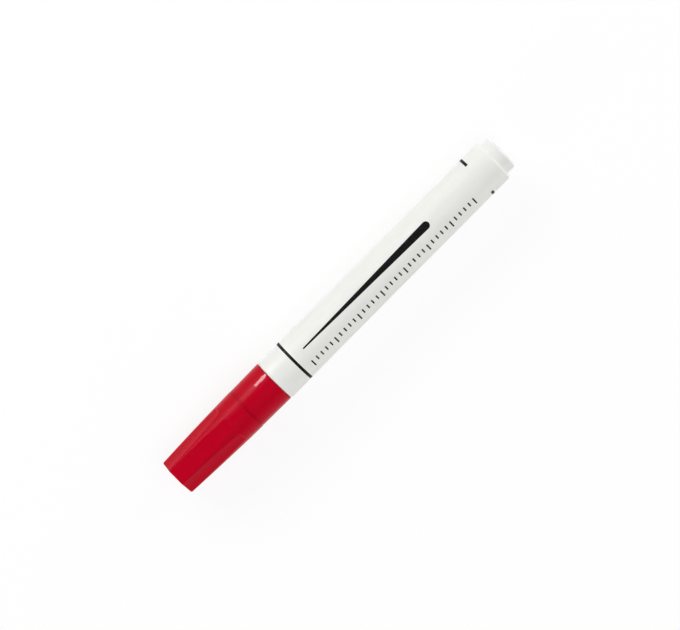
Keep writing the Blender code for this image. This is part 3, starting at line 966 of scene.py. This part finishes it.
class MARKER_OT_spring(bpy.types.Operator):
    """Wind the valve spring from a wire circle"""
    bl_idname = "marker.spring"
    bl_label = "Spring"

    def execute(self, context):
        sizes = context.scene.marker_valve
        wire_sides, steps_per_curl = 12, 32
        start = SPRING_START + sizes.wire_radius
        end = SPRING_END - sizes.wire_radius
        bpy.ops.mesh.primitive_circle_add(vertices=wire_sides, radius=sizes.wire_radius,
                                          location=(start, 0, AXIS_Z), rotation=(math.pi / 2, 0, 0))
        bpy.ops.object.transform_apply(location=False, rotation=True, scale=True)
        spring = context.object
        spring.name = "spring_coil"
        edit_whole()
        bpy.ops.transform.translate(value=(0, 0, sizes.coil_radius))
        bpy.ops.object.mode_set(mode="OBJECT")
        winding = spring.modifiers.new("winding", "SCREW")
        winding.axis = "X"
        winding.angle = math.tau * sizes.curls
        winding.screw_offset = end - start
        winding.steps = round(steps_per_curl * sizes.curls)
        winding.render_steps = winding.steps
        bpy.ops.object.modifier_apply(modifier=winding.name)
        bpy.ops.object.transform_apply()
        edit_whole()
        bpy.ops.mesh.fill_holes(sides=wire_sides)
        bpy.ops.mesh.normals_make_consistent(inside=False)
        bpy.ops.object.mode_set(mode="OBJECT")
        finish = steel_finish("spring_drawn_steel", context.scene.marker_colours,
                              roughness=0.3, scale=(2500, 700, 700))
        settle(spring, finish, "barrel", "valve_spring")
        whole = SPRING_END - SPRING_START
        (whole - NIB_TRAVEL) / whole
        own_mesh(spring)
        return {"FINISHED"}


class MARKER_OT_mixing_ball(bpy.types.Operator):
    """Round a cube into the steel mixing ball"""
    bl_idname = "marker.mixing_ball"
    bl_label = "Mixing ball"

    def execute(self, context):
        cuts = 23
        size = BALL_HIGH.x - BALL_LOW.x
        bpy.ops.mesh.primitive_cube_add(size=size, location=(BALL_LOW + BALL_HIGH) / 2)
        ball = context.object
        ball.name = "ball_sphere"
        edit_whole()
        bpy.ops.mesh.subdivide(number_cuts=cuts)
        bpy.ops.transform.tosphere(value=1.0)
        bpy.ops.object.mode_set(mode="OBJECT")
        reach = max(vertex.co.length for vertex in ball.data.vertices)
        ball.scale = (size / 2 / reach,) * 3
        bpy.ops.object.transform_apply()
        finish = steel_finish("ball_polished_steel", context.scene.marker_colours,
                              roughness=0.16, scale=(900, 900, 900))
        settle(ball, finish, "mixing_ball", "mixing_ball")
        return {"FINISHED"}


class MARKER_OT_stage(bpy.types.Operator):
    """Lay the floor, set the lights and aim the camera"""
    bl_idname = "marker.stage"
    bl_label = "Stage"

    def execute(self, context):
        scene = context.scene
        scene.view_settings.view_transform = "Standard"
        add_floor()
        add_surround(scene)
        camera = add_camera(scene)
        add_lights(camera.location, scene.marker_barrel.body_radius)
        return {"FINISHED"}


def add_floor():
    """A wide white floor that shows a faint shadow."""
    floor_size = 14
    glow, shown_grey, lit_grey = 0.84, 0.16, 0.85
    bpy.ops.mesh.primitive_plane_add(size=floor_size, location=(0, 0, 0))
    floor = bpy.context.object
    floor.name = "floor"
    finish = Finish("floor_white")
    rays = finish.node("ShaderNodeLightPath").outputs
    looked_at = Value(finish, rays["Is Camera Ray"])
    for kind in ("Is Glossy Ray", "Is Transmission Ray"):
        looked_at = looked_at.largest(Value(finish, rays[kind]))
    lit = finish.node("ShaderNodeBsdfDiffuse", None, {"Color": rgba((lit_grey,) * 3)})
    shadowed = finish.node("ShaderNodeBsdfDiffuse", None, {"Color": rgba((shown_grey,) * 3)})
    white = finish.node("ShaderNodeEmission", None, {"Color": rgba((1, 1, 1)), "Strength": glow})
    shown = finish.node("ShaderNodeAddShader", None, {0: shadowed.outputs[0], 1: white.outputs[0]})
    both = finish.node("ShaderNodeMixShader", None, {
        0: looked_at, 1: lit.outputs[0], 2: shown.outputs[0]})
    finish.feed(finish.output, {"Surface": both.outputs[0]})
    finish.tree.nodes.remove(finish.shader)
    floor.data.materials.append(finish.material)


def add_surround(scene):
    """A pale surround that is darker overhead, so that the cap's red stays deep."""
    low, low_grey = 0.1, 0.80
    high, high_grey = 0.8, 0.04
    world = bpy.data.worlds.new("surround")
    world.use_nodes = True
    scene.world = world
    sky = Nodes(world.node_tree)
    direction = sky.node("ShaderNodeTexCoord").outputs["Generated"]
    height = sky.parts(direction)[2]
    ramp = sky.node("ShaderNodeValToRGB", {
        "stops": [(low, rgba((low_grey,) * 3)), (high, rgba((high_grey,) * 3))]}, {0: height})
    sky.feed(world.node_tree.nodes["Background"], {"Color": ramp.outputs[0]})


def add_area_light(name, spot, target, width, height, watts):
    """A soft rectangular light, its width along the pen."""
    lamp = bpy.data.lights.new(name, "AREA")
    lamp.shape = "RECTANGLE"
    lamp.size = width
    lamp.size_y = height
    lamp.energy = watts
    light = bpy.data.objects.new(name, lamp)
    bpy.context.collection.objects.link(light)
    light.location = spot
    back = (Vector(spot) - Vector(target)).normalized()
    across = back.cross(Vector((1, 0, 0))).normalized()
    light.rotation_euler = Matrix((across.cross(back), across, back)).transposed().to_euler()
    light.visible_camera = False
    return light


def add_glint(name, eye, radius, x, angle, slope, distance, width, height, watts):
    """A card that the camera sees only as a glint, at x and an angle round the sloping pen."""
    normal = Vector((-slope, -math.sin(angle), math.cos(angle))).normalized()
    point = AXIS + Vector((x, 0, 0)) + normal * radius
    view = (eye - point).normalized()
    onward = 2 * normal.dot(view) * normal - view
    card = add_area_light(name, point + onward * distance, point, width, height, watts)
    card.visible_diffuse = False


def add_lights(eye, radius):
    """A softbox and fills that shape the pen, and two cards for the glints on its lit side."""
    pen = (0, 0, 0)
    for name, spot, width, height, watts in (
        ("key_softbox", (0.0, 0.80, 0.42), 0.76, 0.36, 4.0),
        ("overhead_fill", (0.0, -0.33, 1.02), 0.9, 0.9, 5.85),
        ("cap_end_fill", (-0.91, -0.06, 0.2), 0.5, 0.5, 3.2),
        ("rear_end_fill", (0.92, 0.0, 0.22), 0.5, 0.5, 3.3),
    ):
        light = add_area_light(name, spot, pen, width, height, watts)
        light.visible_glossy = False
    glint_angle = math.radians(-24.9)
    add_glint("long_glint", eye, radius, x=-0.045, angle=glint_angle, slope=0.02,
              distance=0.6, width=0.25, height=0.20, watts=0.33)
    add_glint("collar_glint", eye, radius, x=-0.0316, angle=glint_angle, slope=0.0115,
              distance=0.15, width=0.0056, height=0.046, watts=0.12)


def add_camera(scene):
    """Look straight down from over the barrel, with the pen slanting up to the right."""
    photo_width, pen_pixels = 680, 460.6
    slant = math.radians(45.18)
    stand = Vector((25 * MM, -0.08 * MM, 0))
    picture_middle = -0.10 * MM
    lens = bpy.data.cameras.new("camera")
    lens.lens = 190
    lens.sensor_width = 36
    camera = bpy.data.objects.new("camera", lens)
    scene.collection.objects.link(camera)
    pen_length = PLUG_END - CAP_END
    distance = pen_length * lens.lens / lens.sensor_width * photo_width / pen_pixels
    camera.location = AXIS + stand + Vector((0, 0, distance))
    camera.rotation_euler = (0, 0, -slant)
    shift = (picture_middle - stand.x) / pen_length * pen_pixels / photo_width
    lens.shift_x = shift * math.cos(slant)
    lens.shift_y = shift * math.sin(slant)
    scene.camera = camera
    return camera


class MARKER_PT_panel(bpy.types.Panel):
    """Lists the marker's pieces and settings"""
    bl_idname = "MARKER_PT_panel"
    bl_label = "Paint Marker"
    bl_space_type = "VIEW_3D"
    bl_region_type = "UI"
    bl_category = "Marker"

    def draw(self, context):
        for operator in OPERATORS:
            self.layout.operator(operator.bl_idname)
        for name in GROUPS:
            group = getattr(context.scene, name)
            box = self.layout.box()
            for key in group.__annotations__:
                box.prop(group, key)


OPERATORS = (
    MARKER_OT_cap,
    MARKER_OT_inner_cap,
    MARKER_OT_barrel,
    MARKER_OT_rear_plug,
    MARKER_OT_front_section,
    MARKER_OT_nib,
    MARKER_OT_valve,
    MARKER_OT_spring,
    MARKER_OT_mixing_ball,
    MARKER_OT_stage,
)
CLASSES = (*GROUPS.values(), *OPERATORS, MARKER_PT_panel)


def register():
    """Register the classes and hang the settings on the scene."""
    for part in CLASSES:
        bpy.utils.register_class(part)
    for name, group in GROUPS.items():
        setattr(bpy.types.Scene, name, PointerProperty(type=group))


def unregister():
    """Take the settings and the classes away again."""
    for name in GROUPS:
        delattr(bpy.types.Scene, name)
    for part in reversed(CLASSES):
        bpy.utils.unregister_class(part)


def main():
    """Build the marker and its stage."""
    register()
    for operator in OPERATORS:
        group, name = operator.bl_idname.split(".")
        getattr(getattr(bpy.ops, group), name)()


if __name__ == "__main__":
    main()
